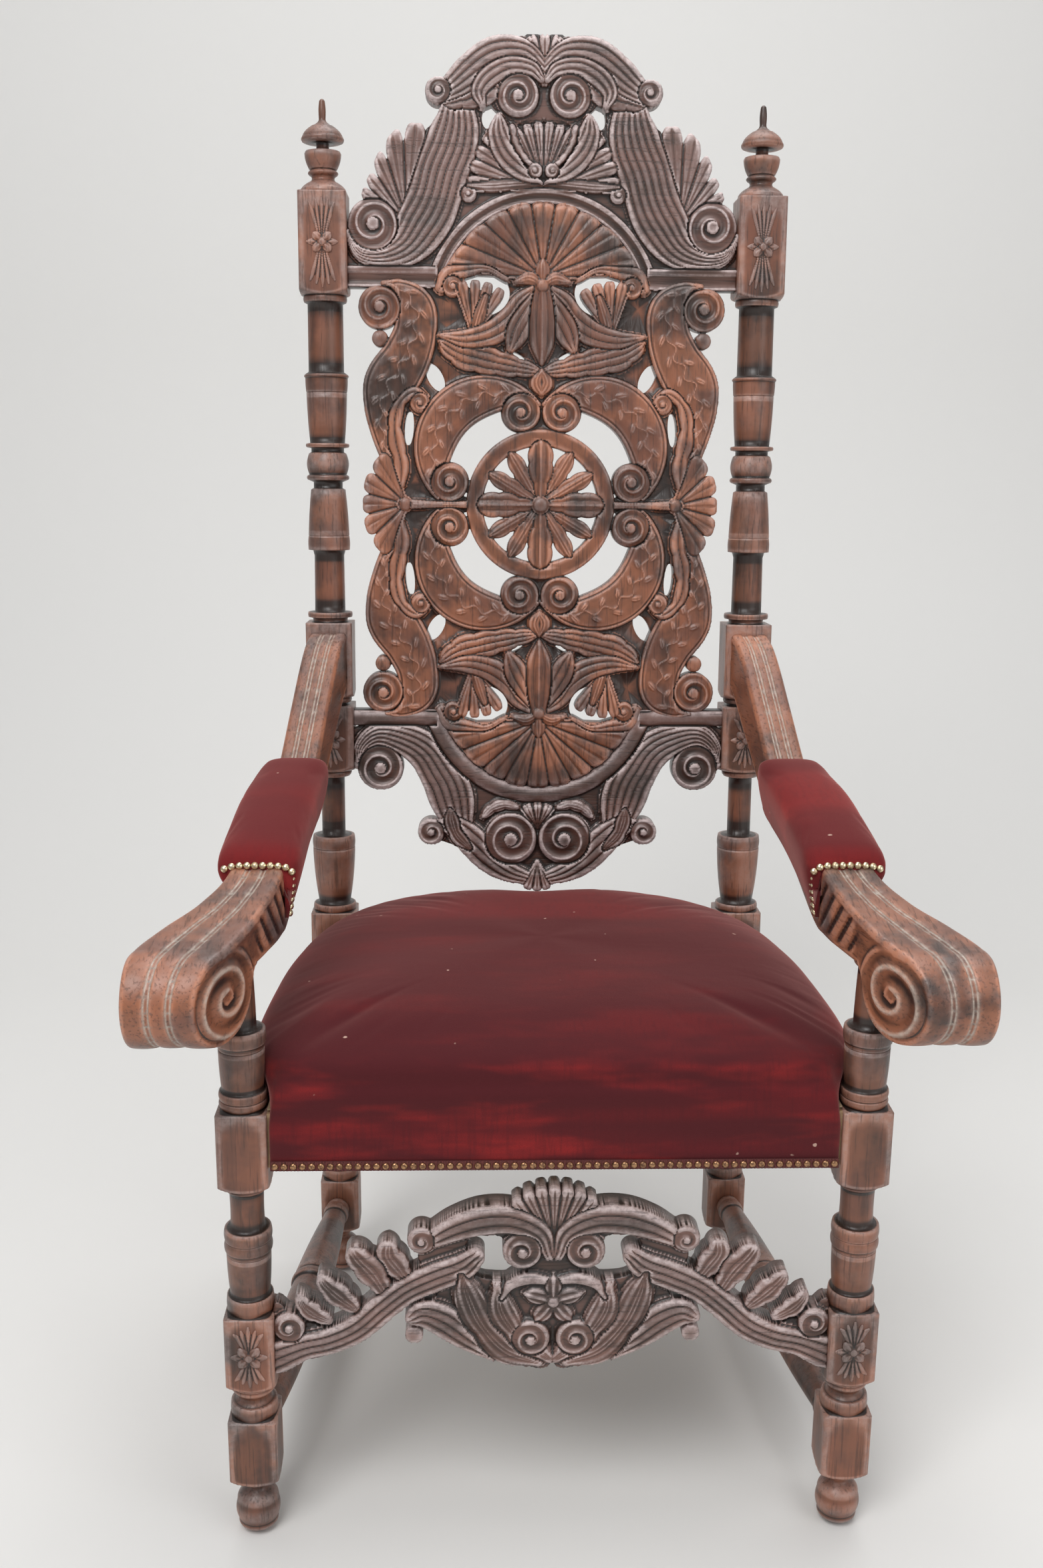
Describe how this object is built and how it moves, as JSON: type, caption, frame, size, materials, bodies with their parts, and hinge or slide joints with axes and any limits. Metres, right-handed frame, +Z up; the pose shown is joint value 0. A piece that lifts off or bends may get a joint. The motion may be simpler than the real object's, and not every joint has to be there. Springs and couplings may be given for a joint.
{
  "type": "carved high-back open armchair",
  "caption": "Carved dark oak open armchair with a tall pierced back between turned posts, scrolled arms with velvet pads and a stuffed velvet seat.",
  "frame": {"origin": "on the floor, in the middle of the chair's outer box", "axes": "+Z up, the chair faces -Y, +X to the right seen from its front"},
  "size_m": [0.7, 0.606, 1.3804],
  "materials": {
    "oak": "dark stained and waxed, worn lighter on edges",
    "frame_wood": "sawn, unfinished",
    "seat_velvet": "cut-pile velvet",
    "arm_velvet": "cut-pile velvet, a little faded",
    "braid": "woven braid",
    "webbing": "woven jute",
    "base_cloth": "plain hessian",
    "seat_nails": "antique bronze, domed",
    "arm_nails": "pale brass, domed"
  },
  "bodies": {
    "root": {"arm_left": "oak", "arm_pad_left": "arm_velvet", "arm_pad_right": "arm_velvet", "arm_right": "oak", "back_panel": "oak", "corner_blocks": "frame_wood", "crest_rail": "oak", "finials": "oak", "front_leg_left": "oak", "front_leg_right": "oak", "front_seat_rail": "frame_wood", "front_stretcher": "oak", "left_seat_rail": "frame_wood", "lower_back_rail": "oak", "rear_post_left": "oak", "rear_post_right": "oak", "rear_seat_rail": "frame_wood", "rear_stretcher": "oak", "right_seat_rail": "frame_wood", "seat_base_cloth": "base_cloth", "seat_braid": "braid", "seat_cushion": "seat_velvet", "seat_webbing": "webbing", "side_stretcher_left": "oak", "side_stretcher_right": "oak"}
  },
  "joints": []
}
